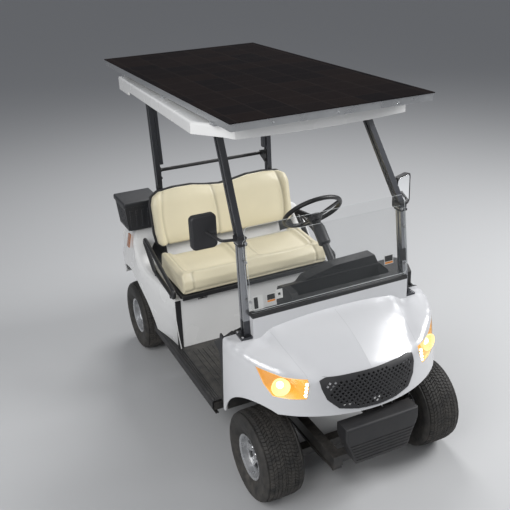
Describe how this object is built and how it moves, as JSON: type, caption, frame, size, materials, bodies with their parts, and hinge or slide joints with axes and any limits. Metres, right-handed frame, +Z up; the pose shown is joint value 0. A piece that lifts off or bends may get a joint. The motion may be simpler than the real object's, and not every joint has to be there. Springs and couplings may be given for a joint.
{
  "type": "golf cart",
  "caption": "Open golf cart with white body, cream bench seat, folding windscreen, solar panel roof, cooler box, steering wheel and wheels that steer and roll.",
  "frame": {"origin": "ground level under the middle of the cart's length and width", "axes": "+Z up, the front faces -Y, the cart's own left side is +X"},
  "size_m": [1.2327, 2.381, 1.8459],
  "materials": {
    "white_panel": "gloss",
    "pearl_panel": "gloss",
    "dark_plastic": "satin",
    "black_steel": "satin",
    "bare_steel": "satin",
    "graphite_strut": "satin",
    "floor_mat": "matte",
    "lamp_bowl": "gloss",
    "clear_lens": "gloss",
    "cast_case": "matte",
    "battery_case": "satin",
    "wheel_grip": "matte",
    "clear_screen": "gloss",
    "rubber_strip": "matte",
    "alu_frame": "satin",
    "panel_glass": "gloss",
    "cream_vinyl": "satin",
    "arm_grip": "matte",
    "cooler_plastic": "satin",
    "amber_lamp": "gloss",
    "tyre": "matte",
    "silver_rim": "satin"
  },
  "bodies": {
    "chassis": {"frame_rails": "black_steel", "floor_panel": "floor_mat", "sill_left": "dark_plastic", "sill_right": "dark_plastic", "front_bumper": "dark_plastic", "front_cowl": "pearl_panel", "grille": "dark_plastic", "headlamp_left": "lamp_bowl", "headlamp_lens_left": "clear_lens", "headlamp_right": "lamp_bowl", "headlamp_lens_right": "clear_lens", "front_suspension": "black_steel", "rear_axle": "cast_case", "rear_spring_left": "bare_steel", "rear_spring_right": "bare_steel", "battery_pack": "battery_case", "dashboard": "dark_plastic", "steering_column": "dark_plastic", "windscreen_lower": "clear_screen", "windscreen_upper": "clear_screen", "windscreen_sill": "rubber_strip", "strut_front_left": "graphite_strut", "strut_front_right": "graphite_strut", "strut_rear_left": "graphite_strut", "strut_rear_right": "graphite_strut", "roof": "white_panel", "solar_frame": "alu_frame", "solar_glass": "panel_glass", "rear_body": "white_panel", "seat_front_panel": "white_panel", "bag_well": "dark_plastic", "seat_back_cushion": "cream_vinyl", "seat_back_shell": "dark_plastic", "armrest_left": "arm_grip", "armrest_right": "arm_grip", "bag_rack": "black_steel", "cooler_box": "cooler_plastic", "mirror_left": "dark_plastic", "mirror_right": "dark_plastic", "tail_lamp_left": "amber_lamp", "tail_lamp_right": "amber_lamp", "pedals": "black_steel"},
    "knuckle_left": {"knuckle_left": "bare_steel"},
    "knuckle_right": {"knuckle_right": "bare_steel"},
    "steering_wheel": {"steering_wheel": "wheel_grip"},
    "wheel_front_left": {"tyre_fl": "tyre", "rim_fl": "silver_rim"},
    "wheel_front_right": {"tyre_fr": "tyre", "rim_fr": "silver_rim"},
    "wheel_rear_left": {"tyre_rl": "tyre", "rim_rl": "silver_rim"},
    "wheel_rear_right": {"tyre_rr": "tyre", "rim_rr": "silver_rim"},
    "seat": {"seat_pan": "dark_plastic", "seat_cushion": "cream_vinyl"},
    "cooler_lid": {"cooler_lid": "cooler_plastic"}
  },
  "joints": [
    {"name": "steer_left", "type": "hinge", "parent": "chassis", "child": "knuckle_left", "pos_m": [0.378, -0.855, 0.228], "axis": [0, 0, 1], "range_deg": [-28, 28]},
    {"name": "steer_right", "type": "hinge", "parent": "chassis", "child": "knuckle_right", "pos_m": [-0.378, -0.855, 0.228], "axis": [0, 0, 1], "range_deg": [-28, 28]},
    {"name": "steering_wheel_turn", "type": "hinge", "parent": "chassis", "child": "steering_wheel", "pos_m": [0.266, -0.054, 1.076], "axis": [0, 0.7071, 0.7071], "range_deg": [-420, 420]},
    {"name": "front_left_roll", "type": "hinge", "parent": "knuckle_left", "child": "wheel_front_left", "pos_m": [0.45, -0.855, 0.228], "axis": [1, 0, 0], "continuous": true},
    {"name": "front_right_roll", "type": "hinge", "parent": "knuckle_right", "child": "wheel_front_right", "pos_m": [-0.45, -0.855, 0.228], "axis": [1, 0, 0], "continuous": true},
    {"name": "rear_left_roll", "type": "hinge", "parent": "chassis", "child": "wheel_rear_left", "pos_m": [0.49, 0.815, 0.228], "axis": [1, 0, 0], "continuous": true},
    {"name": "rear_right_roll", "type": "hinge", "parent": "chassis", "child": "wheel_rear_right", "pos_m": [-0.49, 0.815, 0.228], "axis": [1, 0, 0], "continuous": true},
    {"name": "seat_lift", "type": "hinge", "parent": "chassis", "child": "seat", "pos_m": [0, 0.142, 0.615], "axis": [1, 0, 0], "range_deg": [0, 62]},
    {"name": "cooler_lid_lift", "type": "hinge", "parent": "chassis", "child": "cooler_lid", "pos_m": [-0.488, 0.999, 1.006], "axis": [-1, 0, 0], "range_deg": [0, 100]}
  ],
  "couplings": [
    {"joint": "steer_right", "follows": "steer_left", "ratio": 1},
    {"joint": "steering_wheel_turn", "follows": "steer_left", "ratio": 15}
  ]
}
